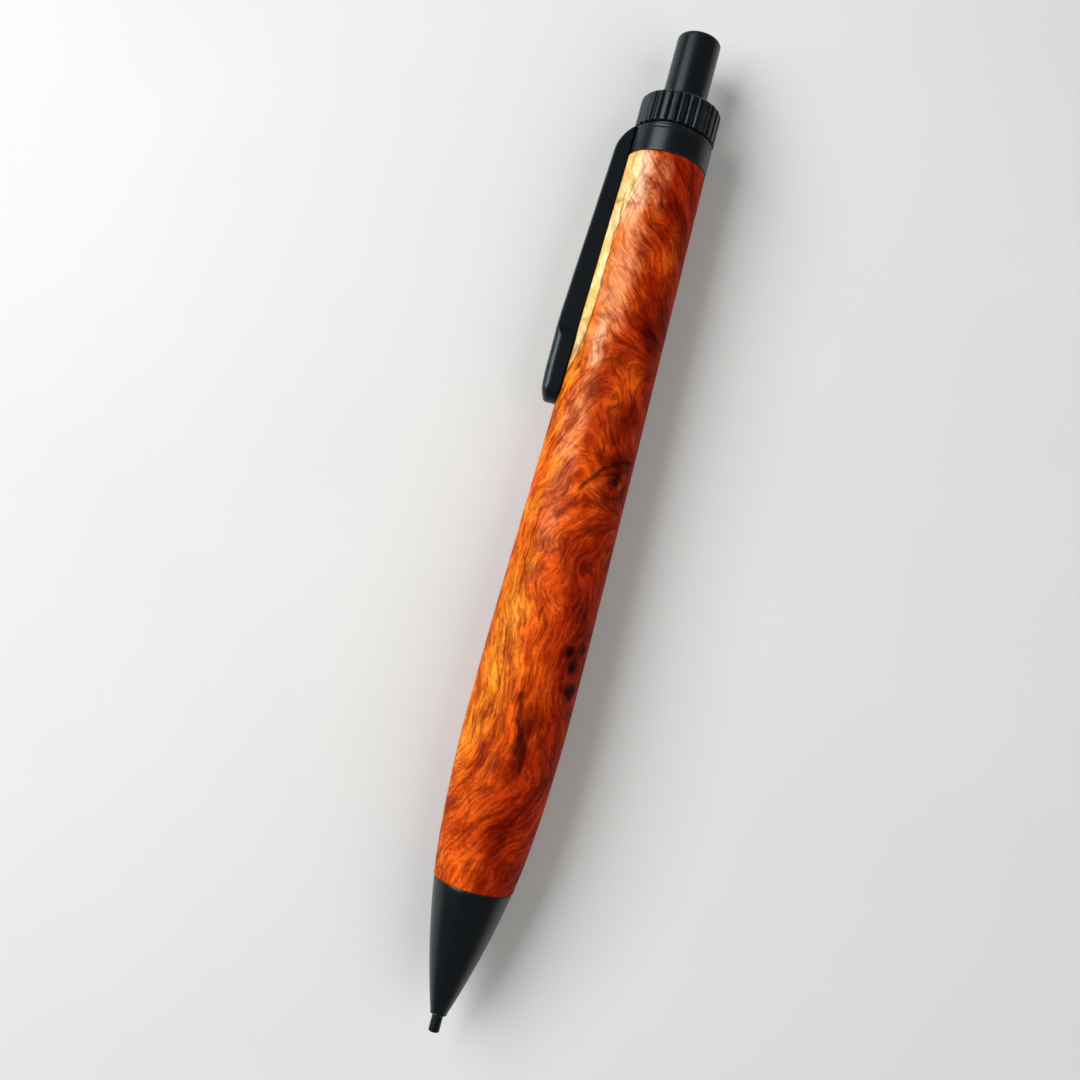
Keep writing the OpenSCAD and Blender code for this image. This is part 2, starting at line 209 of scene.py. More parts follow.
def turned(name, outline, steps=128, carve=None, wear_and_glint=None):
    """Turns a closed outline of (x, r, rim) round the pencil's axis.

    carve(x, r, angle) may cut it back, and the rim function (x, r, angle) may add to its rims, which the
    black metal paints lighter as edge wear and partly as a painted highlight.
    """
    x, r, rim = np.array(outline, float).T
    x, r, rim = (np.repeat(v[:, None], steps, 1) for v in (x, r, rim))
    angle = np.broadcast_to(np.arange(steps) * TURN / steps, x.shape)
    if wear_and_glint:
        rim = np.maximum(rim, wear_and_glint(x, r, angle))
    if carve:
        r = carve(x, r, angle)
    points = np.stack([x, -r * np.sin(angle), r * np.cos(angle)], -1).reshape(-1, 3)
    faces = grid_faces(len(outline), steps, wrap_rows=True, wrap_columns=True)
    if outline[0][1] == 0:
        faces = faces[:-steps]
    return make_piece(name, points, faces, {"rim": rim.ravel()})


def settle(piece):
    """Turns a piece's modifiers into its own mesh."""
    depsgraph = bpy.context.evaluated_depsgraph_get()
    mesh = bpy.data.meshes.new_from_object(piece.evaluated_get(depsgraph))
    piece.modifiers.clear()
    piece.data = mesh
    return piece


def finish_piece(piece, body, material, slot, *nodes):
    piece.data.materials.clear()
    piece.data.materials.append(material)
    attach(piece, body)
    if nodes:
        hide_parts(*nodes)
    return piece


# ---------- materials ----------

class Graph:
    """Short calls that add a material's nodes and join them."""

    def __init__(self, name):
        self.material = bpy.data.materials.new(name)
        self.material.use_nodes = True
        self.tree = self.material.node_tree
        self.tree.nodes.clear()

    def add(self, kind, inputs=None, output=0, **settings):
        node = self.tree.nodes.new("ShaderNode" + kind)
        for key, value in settings.items():
            setattr(node, key, value)
        for key, value in (inputs or {}).items():
            if isinstance(value, bpy.types.NodeSocket):
                self.tree.links.new(value, node.inputs[key])
            else:
                node.inputs[key].default_value = value
        return node.outputs[output]

    def math(self, operation, a, b=0.0, clamp=False):
        return self.add("Math", {0: a, 1: b}, operation=operation, use_clamp=clamp)

    def mix(self, factor, a, b, blend="MIX"):
        inputs = {0: factor, 6: a, 7: b}
        return self.add("Mix", inputs, 2, data_type="RGBA", blend_type=blend)

    def ramp(self, factor, low, high, to_low=0.0, to_high=1.0):
        inputs = {"Value": factor, "From Min": low, "From Max": high, "To Min": to_low, "To Max": to_high}
        return self.add("MapRange", inputs, interpolation_type="SMOOTHSTEP")

    def place(self):
        """The point being shaded, in millimetres."""
        coordinates = self.add("TexCoord", output="Object")
        return self.add("VectorMath", {0: coordinates, 3: 1000.0}, operation="SCALE")

    def stretch(self, vector, scale):
        return self.add("VectorMath", {0: vector, 1: scale}, operation="MULTIPLY")

    def noise(self, vector, scale=1.0, detail=3.0, rough=0.55, w=None):
        inputs = {"Vector": vector, "Scale": scale, "Detail": detail, "Roughness": rough}
        if w is not None:
            inputs["W"] = w
        return self.add("TexNoise", inputs, noise_dimensions="3D" if w is None else "4D")

    def value(self, name):
        return self.add("Attribute", output="Fac", attribute_name=name)

    def bump(self, height, distance, strength=1.0):
        return self.add("Bump", {"Height": height, "Distance": distance * MM, "Strength": strength})

    def surface(self, **inputs):
        named = {key.replace("_", " "): value for key, value in inputs.items()}
        shader = self.add("BsdfPrincipled", named)
        target = self.tree.nodes.new("ShaderNodeOutputMaterial")
        self.tree.links.new(shader, target.inputs["Surface"])
        return self.material


def shade(r, g, b):
    """A colour given as 0 to 255 on screen, as the linear colour that nodes use."""
    def linear(v):
        v /= 255
        return v / 12.92 if v <= 0.04045 else ((v + 0.055) / 1.055) ** 2.4
    return (linear(r), linear(g), linear(b), 1.0)


def black_metal():
    g = Graph("black_metal")
    place = g.place()
    fine = g.noise(place, 14.0, 3.0)
    broad = g.noise(place, 0.35, 2.0)
    scuff = g.noise(g.stretch(place, (0.6, 5.0, 5.0)), 1.3, 4.0, 0.65)
    # Edge wear and painted highlight: rounded rims, the clip's edges and the ring's groove edges are painted
    # lighter grey and more metallic in patches, partly as wear and partly standing in for their thin
    # highlights.
    wear_and_glint = g.math("MULTIPLY", g.value("rim"), g.ramp(scuff, 0.42, 0.66), clamp=True)
    coat = g.mix(broad, shade(5, 6, 7), shade(10, 12, 14))
    colour = g.mix(g.math("MULTIPLY", wear_and_glint, 0.5), coat, shade(84, 86, 90))
    rough = g.math("ADD", g.math("MULTIPLY", fine, 0.12), 0.22)
    rough = g.math("ADD", rough, g.math("MULTIPLY", g.ramp(scuff, 0.55, 0.75), 0.08))
    return g.surface(
        Base_Color=colour, Metallic=g.math("MULTIPLY", wear_and_glint, 0.5), Roughness=rough,
        Specular_IOR_Level=0.36, Specular_Tint=(0.8, 0.93, 1.0, 1), Normal=g.bump(fine, 0.006, 0.6),
    )


def turned_metal(name, dark, light, rough):
    """Bare metal with a lathe's fine rings and a little tarnish."""
    g = Graph(name)
    place = g.place()
    rings = g.noise(g.stretch(place, (6.0, 0.12, 0.12)), 1.0, 2.0, 0.5)
    stain = g.noise(place, 0.5, 4.0, 0.6)
    colour = g.mix(g.ramp(stain, 0.35, 0.7), light, dark)
    spread = g.math("MULTIPLY", g.math("ADD", rings, stain), 0.16)
    return g.surface(
        Base_Color=colour, Metallic=1.0, Roughness=g.math("ADD", spread, rough),
        Normal=g.bump(rings, 0.008, 0.35),
    )


def moulded(name, colour, deep, rough, transmission=0.0):
    """Plastic or rubber with a moulded skin."""
    g = Graph(name)
    place = g.place()
    skin = g.noise(place, 7.0, 4.0, 0.6)
    cloud = g.noise(place, 0.6, 3.0)
    return g.surface(
        Base_Color=g.mix(cloud, colour, deep), Transmission_Weight=transmission,
        Roughness=g.math("ADD", g.math("MULTIPLY", skin, 0.2), rough),
        Normal=g.bump(skin, 0.02, 0.5),
    )


def eraser_vinyl():
    g = Graph("eraser_vinyl")
    place = g.place()
    skin = g.noise(place, 5.0, 4.0, 0.6)
    smudge = g.math("MULTIPLY", g.value("rim"), g.ramp(g.noise(place, 1.4, 5.0, 0.65), 0.45, 0.7))
    clean = g.mix(skin, shade(238, 236, 230), shade(226, 222, 214))
    return g.surface(
        Base_Color=g.mix(g.math("MULTIPLY", smudge, 0.6), clean, shade(120, 118, 118)),
        Roughness=g.math("ADD", g.math("MULTIPLY", skin, 0.15), 0.62),
        Subsurface_Weight=0.15, Subsurface_Scale=0.001, Normal=g.bump(skin, 0.03, 0.5),
    )


def graphite():
    g = Graph("graphite")
    place = g.place()
    streak = g.noise(g.stretch(place, (0.8, 9.0, 9.0)), 1.0, 4.0, 0.6)
    return g.surface(
        Base_Color=g.mix(streak, shade(58, 58, 62), shade(84, 84, 88)), Metallic=0.35,
        Roughness=g.math("ADD", g.math("MULTIPLY", streak, 0.2), 0.34), Normal=g.bump(streak, 0.01, 0.6),
    )


# ---------- figure of the burl ----------

# The wood's figure, with painted light and shade and a painted sheen, is drawn over its surface by station x
# (mm from the tip) and angle (degrees from straight up, positive away from the clip).
FIGURE_R = 6.5

# Knots: station, angle, reach in mm, swirl of the grain round it in mm, darkness
KNOTS = [
    (77.0, 42, 0.9, 3.2, 0.8),
    (76.2, 34, 0.6, 1.0, 0.6),
    (87.7, 12, 0.55, 1.2, 0.55),
    (86.5, 20, 0.5, 0.8, 0.5),
    (53.5, 38, 0.9, 1.6, 0.85),
    (54.0, 62, 0.8, 1.2, 0.85),
    (51.4, 48, 1.05, 1.6, 0.9),
    (48.1, 55, 1.4, 2.6, 1.0),
    (64.3, 23, 0.9, 1.8, 0.25),
    (60.6, 2, 0.9, 1.8, 0.25),
    (67.3, -31, 1.3, 1.5, 0.2),
    (62.5, -31, 1.3, 1.5, 0.2),
    (42.8, -40, 1.0, 0.9, 0.4),
    (25.6, 20, 1.5, 2.2, 0.0),
    (24.4, 5, 0.8, 1.0, 0.5),
    (115.7, -13, 0.45, 0.8, 0.6),
    (116.3, -21, 0.4, 0.8, 0.55),
    (114.5, 5, 0.6, 1.0, 0.65),
    (98.0, 148, 1.3, 2.2, 0.8),
    (94.5, 128, 0.8, 1.4, 0.6),
    (69.0, -142, 1.4, 2.4, 0.9),
    (63.0, 165, 0.9, 1.6, 0.5),
    (38.0, 178, 1.2, 2.2, 0.8),
    (34.0, -150, 0.8, 1.3, 0.6),
    (108.0, -125, 0.7, 1.4, 0.5),
]


def random_field(seed, size, count=28):
    """A smooth random field of about -1 to 1 whose features have the given size in mm."""
    rng = np.random.default_rng(seed)
    waves = rng.normal(size=(count, 3)) * 1.6 / size
    phases = rng.uniform(0, TURN, count)

    def field(points):
        return np.sin(points @ waves.T + phases).sum(1) * math.sqrt(1.0 / count)
    return field


def grain_flow(x, angle, points):
    """Height of a contour map over the surface. The fibres follow its contours.

    tip, grip, arch and top are its slopes along four stretches of the barrel, each faded into the next.
    """
    folded = np.arcsin(0.985 * np.sin(angle))
    s = FIGURE_R * folded
    tip = 0.82 * s - 0.57 * (x - 35)
    push_right = 5.0 * np.exp(-((x - 43) / 8.5) ** 2) * smooth(0.15 - s / 6.5)
    push_left = 2.2 * np.exp(-((x - 51) / 6.0) ** 2) * smooth(s / 3.5)
    grip = s - push_right + push_left
    arch = -np.sqrt((s + 0.6) ** 2 + 1.4) - 0.6 - 0.45 * (x - 72)
    top = 0.77 * s + 0.64 * (x - 93) - 9.5
    flow = tip + (grip - tip) * smooth((x - 31) / 8)
    flow += (arch - flow) * smooth((x - 66) / 12)
    flow += (top - flow) * smooth((x - 88) / 12)
    flow += 0.5 * random_field(11, 3.6)(points) + 0.2 * random_field(12, 1.5)(points)
    for station, degrees, reach, swirl, _ in KNOTS:
        flow += swirl * np.exp(-near(x, angle, station, degrees) ** 2 / (2.2 * reach) ** 2)
    return flow


def turn_from(angle, degrees):
    """The turn in radians from a direction in degrees to an angle, the shorter way round."""
    return (angle - math.radians(degrees) + math.pi) % TURN - math.pi


def near(x, angle, station, degrees, stretch=1.0):
    """Distance over the surface to a place. A stretch above 1 makes its rings longer along the barrel."""
    return np.hypot((x - station) / stretch, FIGURE_R * turn_from(angle, degrees))


def near_line(x, angle, line):
    """Distance over the surface to a line through (station, angle) points."""
    best = np.full(len(x), 1e3)
    s = FIGURE_R * angle
    for (x0, a0), (x1, a1) in zip(line, line[1:]):
        s0, s1 = FIGURE_R * math.radians(a0), FIGURE_R * math.radians(a1)
        length2 = (x1 - x0) ** 2 + (s1 - s0) ** 2
        t = np.clip(((x - x0) * (x1 - x0) + (s - s0) * (s1 - s0)) / length2, 0, 1)
        best = np.minimum(best, np.hypot(x - x0 - t * (x1 - x0), s - s0 - t * (s1 - s0)))
    return best


AMBER = shade(230, 128, 30)
ORANGE = shade(208, 84, 18)
RED = shade(156, 40, 8)
DARK = shade(48, 9, 5)
CREAM = shade(255, 230, 168)
# Pale pink for a painted sheen: a painted highlight of the polished barrel on its lit upper side
PAINTED_SHEEN = shade(252, 214, 182)
HONEY = shade(240, 178, 76)
SALMON = shade(230, 146, 98)
UMBER = shade(128, 60, 36)
MAROON = shade(104, 18, 6)

# Soft patches of colour, two of them a painted sheen: station, angle, half length in mm, half width in
# degrees, colour, strength
PATCHES = [
    (104, -26, 12, 20, SALMON, 0.9),
    (108, 0, 6, 10, UMBER, 0.35),
    # Painted sheen: a pale painted highlight on the lit side near the collar
    (118, -34, 5, 17, PAINTED_SHEEN, 0.85),
    (118, -10, 4, 18, SALMON, 0.5),
    (109, 36, 4, 14, ORANGE, 0.8),
    (98, 50, 4, 26, MAROON, 0.7),
    # Painted sheen, a smaller painted highlight further forward
    (94, -26, 3, 8, PAINTED_SHEEN, 0.5),
    (91, 30, 3, 12, ORANGE, 0.7),
    (86, -16, 4, 18, UMBER, 0.5),
    (85, -2, 6, 12, RED, 0.75),
    (82, -30, 6, 16, SALMON, 0.55),
    (84, 22, 3.5, 18, MAROON, 0.6),
    (79.4, 46, 2.2, 22, MAROON, 0.85),
    (76.5, 4, 2.2, 15, ORANGE, 0.8),
    (75.4, 42, 2.2, 20, MAROON, 0.6),
    (77.2, 54, 0.9, 7, ORANGE, 0.7),
    (72, -26, 6, 16, SALMON, 0.35),
    (67, -30, 1.6, 16, UMBER, 0.45),
    (62.5, -30, 1.6, 17, UMBER, 0.45),
    (65, 12, 2, 22, MAROON, 0.4),
    (60, 34, 2, 20, MAROON, 0.45),
    (54, -44, 8, 16, HONEY, 0.25),
    (56, -6, 9, 12, ORANGE, 0.5),
    (62, 0, 4, 12, RED, 0.5),
    (55, 14, 5, 10, RED, 0.6),
    (50, 52, 6, 18, RED, 0.6),
    (52, 50, 5, 16, MAROON, 0.55),
    (57.5, 50, 1.6, 18, MAROON, 0.5),
    (46, -20, 8, 8, AMBER, 0.35),
    (42, -42, 4, 16, UMBER, 0.25),
    (41, 11, 4.5, 8, MAROON, 0.85),
    (38, -60, 6, 16, AMBER, 0.4),
    (33, 8, 4, 14, RED, 0.6),
    (27, 12, 2.4, 12, MAROON, 0.6),
    (24, -30, 4, 30, ORANGE, 0.5),
    (22, 44, 4, 34, MAROON, 0.5),
]

# Thin marks: (station, angle) points, half width in mm, colour, strength
MARKS = [
    ([(116, -51), (111, -48.5), (106, -49), (101, -47.5), (96, -49.5), (92.5, -55), (90.5, -64), (89.3, -76)],
     0.16, UMBER, 0.8),
    ([(92, -38), (90.8, -50), (89.2, -62), (87.4, -72)], 0.12, UMBER, 0.7),
    ([(115, -75), (114.4, -45), (114.2, -26), (114.6, -14)], 0.18, UMBER, 0.5),
    ([(120, -28), (117.6, -38), (115.2, -44)], 0.14, UMBER, 0.5),
    ([(112, -62), (110.6, -52)], 0.1, UMBER, 0.5),
    ([(80.0, 66), (79.8, 50), (79.0, 34), (78.0, 22), (76.4, 10), (74.6, -2)], 0.26, DARK, 0.75),
    ([(75.0, 8), (74.6, 24), (74.4, 40), (75.2, 58)], 0.2, DARK, 0.5),
    ([(77.4, 28), (77.8, 40), (77.2, 52)], 0.16, DARK, 0.6),
    ([(112.5, -46), (115.2, -38), (117.6, -29), (119.6, -18), (121.4, -4)], 0.1, UMBER, 0.6),
    ([(111.0, -40), (114.0, -34), (116.6, -25), (118.8, -12), (120.6, 4)], 0.08, UMBER, 0.5),
    ([(109.5, -34), (112.8, -30), (115.4, -21), (117.6, -6)], 0.08, UMBER, 0.4),
    ([(114.2, -16), (113.9, -2), (113.4, 12)], 0.2, DARK, 0.4),
    ([(58.2, -6.5), (56.4, -7)], 0.12, DARK, 0.7),
    ([(46.6, -4), (44.6, 0), (42.6, 3), (41.2, 9), (39.6, 12), (37.0, 15)], 0.34, DARK, 0.7),
    ([(43.2, -2), (41.6, 6), (39.0, 5)], 0.2, DARK, 0.6),
    ([(36.6, 66), (35.6, 50), (33.4, 36), (30.7, 23), (27.6, 12)], 0.6, MAROON, 0.7),
    ([(66.4, -28), (65.2, -18), (66.2, -6), (64.6, 6)], 0.18, MAROON, 0.5),
    ([(58.6, 20), (59.8, 34), (58.2, 50)], 0.3, MAROON, 0.5),
]


def sapwood(x, angle):
    """1 in the pale sapwood along the clip's side, 0 in the heartwood."""
    degrees = np.degrees(angle)
    edge = -49 - 27 * smooth((94 - x) / 5) + 12 * smooth((x - 109) / 9)
    inner = smooth((edge - degrees) / 2.2 + 0.5)
    outer = smooth((degrees + 150) / 14)
    return inner * outer * smooth((x - 88.5) / 1.5)


def towards(colour, tint, factor):
    """Moves each point's colour towards a tint."""
    return colour + (np.array(tint[:3]) - colour) * factor[:, None]


def paint_wood(x, angle, points):
    """Base colour of the wood at each point, before its fibres and pores, with painted light and shade round
    the barrel and a painted sheen.
    """
    # Painted light and shade: amber on the side towards the window and the clip, red on the side away from
    # it; the colour also runs a little redder towards the tip.
    warm = 0.5 + 0.5 * np.cos(angle + math.radians(70)) - 0.12 * smooth((48 - x) / 14)
    warm = warm + 0.1 * random_field(21, 7)(points) + 0.08 * random_field(22, 2.4)(points)
    colour = towards(np.array(RED[:3]), ORANGE, smooth((warm - 0.39) / 0.44))
    colour = towards(colour, AMBER, smooth((warm - 0.82) / 0.2))
    ragged = 0.22 * random_field(23, 2.6)(points) + 0.12 * random_field(24, 0.9)(points)
    for station, degrees, long, wide, tint, strength in PATCHES:
        away = np.hypot((x - station) / long, np.degrees(turn_from(angle, degrees)) / wide) + ragged
        colour = towards(colour, tint, strength * smooth((1.5 - away) / 1.1))
    pale = sapwood(x, angle + 0.03 * random_field(25, 2.0)(points))
    colour = towards(colour, CREAM, 0.9 * pale)
    gold = pale * smooth(0.5 + random_field(26, 2.2)(points))
    colour = towards(colour, HONEY, 0.55 * gold)
    wobble = angle + 0.02 * random_field(27, 1.1)(points)
    for line, half, tint, strength in MARKS:
        close = near_line(x, wobble, line) / half
        colour = towards(colour, tint, strength * smooth(1.6 - close))
    return colour


def calm_wood(x, angle):
    """How much the grain fades: in the sapwood, and in the pale heartwood beside it."""
    beside = np.hypot((x - 107) / 15, (np.degrees(angle) + 38) / 26)
    return np.maximum(0.62 * sapwood(x, angle), 0.4 * smooth((1.4 - beside) / 0.8))


def knot_depth(x, angle, points):
    """How far a point lies into a dark knot."""
    depth = np.zeros(len(x))
    ragged = 1 + 0.2 * random_field(31, 0.9)(points)
    for station, degrees, reach, _, dark in KNOTS:
        away = near(x, angle, station, degrees, 1.1) / reach * ragged
        depth = np.maximum(depth, dark * smooth((1.6 - away) / 1.3))
    return depth


def burl_wood():
    g = Graph("burl_wood")
    place = g.place()
    flow = g.value("flow")
    tint = g.add("Attribute", output="Vector", attribute_name="tint")
    knot = g.value("knot")
    lively = g.math("SUBTRACT", 1.0, g.value("calm"))

    bands = g.noise(place, 0.06, 3.0, 0.6, w=g.math("MULTIPLY", flow, 1.1))
    fibres = g.noise(place, 0.16, 5.0, 0.68, w=g.math("MULTIPLY", flow, 2.6))
    threads = g.noise(place, 0.35, 4.0, 0.65, w=g.math("MULTIPLY", flow, 6.5))
    veins = g.noise(place, 0.07, 2.0, 0.5, w=g.math("MULTIPLY", flow, 0.9))
    pores = g.noise(place, 1.1, 2.0, 0.5, w=g.math("MULTIPLY", flow, 7.0))
    mottle = g.noise(place, 0.9, 5.0, 0.66)
    specks = g.noise(place, 2.0, 3.0, 0.6, w=g.math("MULTIPLY", flow, 3.0))

    def grain(colour, noise, low, high, strength, dark, light):
        """Shades the colour by a noise that follows the grain, less where the wood is calm."""
        tone = g.mix(g.ramp(noise, low, high), (*dark, 1), (*light, 1))
        return g.mix(g.math("MULTIPLY", lively, strength), colour, tone, "MULTIPLY")

    colour = grain(tint, bands, 0.4, 0.6, 0.75, (0.76, 0.58, 0.48), (1.1, 1.12, 1.1))
    colour = grain(colour, fibres, 0.4, 0.57, 0.9, (0.58, 0.36, 0.26), (1.18, 1.22, 1.2))
    colour = grain(colour, threads, 0.42, 0.56, 0.9, (0.62, 0.46, 0.38), (1.14, 1.18, 1.2))
    colour = grain(colour, mottle, 0.34, 0.64, 0.85, (0.78, 0.7, 0.62), (1.12, 1.15, 1.12))
    line = g.ramp(g.math("ABSOLUTE", g.math("SUBTRACT", veins, 0.5)), 0.003, 0.014, 1.0, 0.0)
    colour = g.mix(g.math("MULTIPLY", line, 0.3), colour, shade(84, 20, 8))
    speck = g.math("MULTIPLY", g.ramp(specks, 0.54, 0.64), g.ramp(mottle, 0.4, 0.56))
    colour = g.mix(g.math("MULTIPLY", g.math("MULTIPLY", speck, lively), 0.42), colour, shade(88, 22, 8))
    pore = g.ramp(pores, 0.62, 0.7)
    colour = g.mix(g.math("MULTIPLY", pore, 0.6), colour, shade(70, 16, 6))
    pith = g.math("ADD", knot, g.math("MULTIPLY", g.math("SUBTRACT", mottle, 0.5), 1.0))
    core = g.ramp(pith, 0.15, 1.0)
    colour = g.mix(g.math("MULTIPLY", core, 0.96), colour, shade(20, 4, 3))

    height = g.math("SUBTRACT", g.math("MULTIPLY", threads, 0.35), g.math("MULTIPLY", pore, 0.65))
    rough = g.math("ADD", g.math("MULTIPLY", fibres, 0.16), 0.36)
    return g.surface(
        Base_Color=colour, Roughness=g.math("ADD", rough, g.math("MULTIPLY", pore, 0.15)),
        Specular_IOR_Level=0.02, Normal=g.bump(height, 0.02, 0.6),
    )


# ---------- barrel ----------

BELLY_X = wood_x0 + 22.75


def barrel_outline():
    """The barrel's outer outline as (x, r), from the nose cone to the collar."""
    front = cubic(
        (wood_x0 + 2 * WOOD_EDGE, WOOD_END_R), (wood_x0 + 7.45, WOOD_END_R + 1.1),
        (BELLY_X - 4.8, belly_r), (BELLY_X, belly_r), 96,
    )
    rear = cubic(
        (BELLY_X, belly_r), (BELLY_X + 9.2, belly_r),
        (BELLY_X + 19.2, belly_r - 0.16), (wood_x1 - WOOD_EDGE, WOOD_REAR_R), 320,
    )
    return np.vstack([front, rear[1:]])


def barrel_r(x):
    outline = barrel_outline()
    return float(np.interp(x, outline[:, 0], outline[:, 1]))


def build_wood(material):
    """The turned blank, with the values of its figure, its painted light and shade and its painted sheen
    stored at its points.
    """
    def edge(x, r, angles):
        """A quarter round at one end of the barrel."""
        return [(x + WOOD_EDGE * math.sin(a), r - WOOD_EDGE + WOOD_EDGE * math.cos(a)) for a in angles]

    front_edge = edge(wood_x0 + WOOD_EDGE, WOOD_END_R, np.linspace(-math.pi / 2, 0, 6))
    rear_edge = edge(wood_x1 - WOOD_EDGE, WOOD_REAR_R, np.linspace(0, math.pi / 2, 6)[1:])
    skin = front_edge + [tuple(p) for p in barrel_outline()] + rear_edge
    bore = [(wood_x1, WOOD_BORE_R), (wood_x0, WOOD_BORE_R)]
    outline = [(x, r, 0) for x, r in skin + bore]
    piece = turned("barrel_wood", outline, steps=208)
    mesh = piece.data
    points = np.zeros(len(mesh.vertices) * 3, np.float32)
    mesh.vertices.foreach_get("co", points)
    points = points.reshape(-1, 3).astype(float) / MM
    x = points[:, 0]
    angle = np.arctan2(-points[:, 1], points[:, 2])
    set_values(mesh, {
        "flow": grain_flow(x, angle, points),
        "tint": paint_wood(x, angle, points),
        "knot": knot_depth(x, angle, points),
        "calm": calm_wood(x, angle),
    })
    finish_piece(piece, "barrel", material, "burl_wood", "wood_barrel")


# ---------- turned metal parts ----------

def thread(x0, x1):
    """Cuts a screw thread into the stretch from x0 to x1, fading out at both ends."""
    def carve(x, r, angle):
        phase = (x / THREAD_PITCH + angle / TURN) % 1
        ridge = 1 - np.abs(2 * phase - 1)
        inside = smooth((x - x0) / 0.5) * smooth((x1 - x) / 0.5)
        outer = np.isclose(r, SPIGOT_R, atol=0.01)
        return r - THREAD_DEPTH * inside * smooth(ridge * 1.3) * outer
    return carve


def threaded_run(x0, x1):
    """Rings along a threaded spigot, close enough to follow its pitch."""
    return [(x, SPIGOT_R, 0) for x in np.arange(x0, x1, THREAD_PITCH / 8)]


def build_nose(metal):
    """The cone, its threaded spigot and the stepped bore round the mechanism's front."""
    tip_bore, neck_bore, body_bore, mouth_bore = 0.97, 1.53, 2.63, 2.93
    tip_x, neck_x, body_x, mouth_x = 2.6, 5.2, 9, 15
    step = 0.05
    curve = cubic(
        (NOSE_FRONT + 0.2, NOSE_TIP_R), *NOSE_HANDLES, (wood_x0 - NOSE_BAND, NOSE_BAND_R), 72,
    )
    lip = soften([
        (NOSE_FRONT, tip_bore, 0.04), (NOSE_FRONT, NOSE_TIP_R, 0.1),
        (NOSE_FRONT + 0.3, NOSE_TIP_R + 0.05, 0), (NOSE_FRONT + 0.5, tip_bore, 0),
    ])
    rim_end = next(i for i, p in enumerate(lip) if p[1] == NOSE_TIP_R + 0.05)
    band = soften([
        (wood_x0 - NOSE_BAND, NOSE_BAND_R, 0), (wood_x0, NOSE_BAND_R, 0.1), (wood_x0, SPIGOT_R, 0),
        (wood_x0 - 1, SPIGOT_R, 0),
    ])
    spigot = threaded_run(wood_x0 + 0.2, nose_x1 - 0.4)
    back = soften([
        (nose_x1 - 0.4, SPIGOT_R, 0), (nose_x1, SPIGOT_R, 0.2), (nose_x1, mouth_bore, 0.12),
        (mouth_x, mouth_bore, 0), (mouth_x - step, body_bore, 0), (body_x, body_bore, 0),
        (body_x - step, neck_bore, 0), (neck_x, neck_bore, 0), (neck_x - step, tip_bore, 0),
        (tip_x, tip_bore, 0),
    ])
    outline = lip[:rim_end] + [(x, r, 0) for x, r in curve] + band[1:-1] + spigot + back
    piece = turned("nose_shell", outline, steps=192, carve=thread(wood_x0 + 0.8, nose_x1 - 0.5))
    finish_piece(piece, "nose", metal, "black_metal", "nose_cone")


def build_sleeve(metal, lead_material):
    shank_x, end_x = NOSE_FRONT - 0.1, ends("lead_sleeve")[1]
    bore, shank_r = LEAD_R + 0.05, 0.92
    outline = soften([
        (0, bore, 0.05), (0, SLEEVE_R, 0.1), (shank_x, SLEEVE_R, 0), (shank_x, shank_r, 0.05),
        (end_x, shank_r, 0.05), (end_x, bore, 0),
    ])
    finish_piece(turned("tip_sleeve", outline, 96), "barrel", metal, "black_metal", "lead_sleeve")
    lead_x0, lead_x1 = ends("lead")
    outline = soften([(lead_x0, 0, 0), (lead_x0, LEAD_R, 0.16), (lead_x1, LEAD_R, 0.04), (lead_x1, 0, 0)])
    finish_piece(turned("lead_stick", outline, 48), "lead", lead_material, "graphite", "lead")


def build_collar(metal):
    step_r, bore_r, step_x = 4.22, SPIGOT_R + 0.05, wood_x1 - 1.15
    outline = soften([
        (step_x, bore_r, 0), (step_x, step_r, 0.05), (wood_x1, step_r, 0), (wood_x1, collar_r, 0.12),
        (collar_x1, collar_r, 0.2), (collar_x1, bore_r, 0.05),
    ])
    finish_piece(turned("rear_collar", outline, 160), "barrel", metal, "black_metal", "collar")


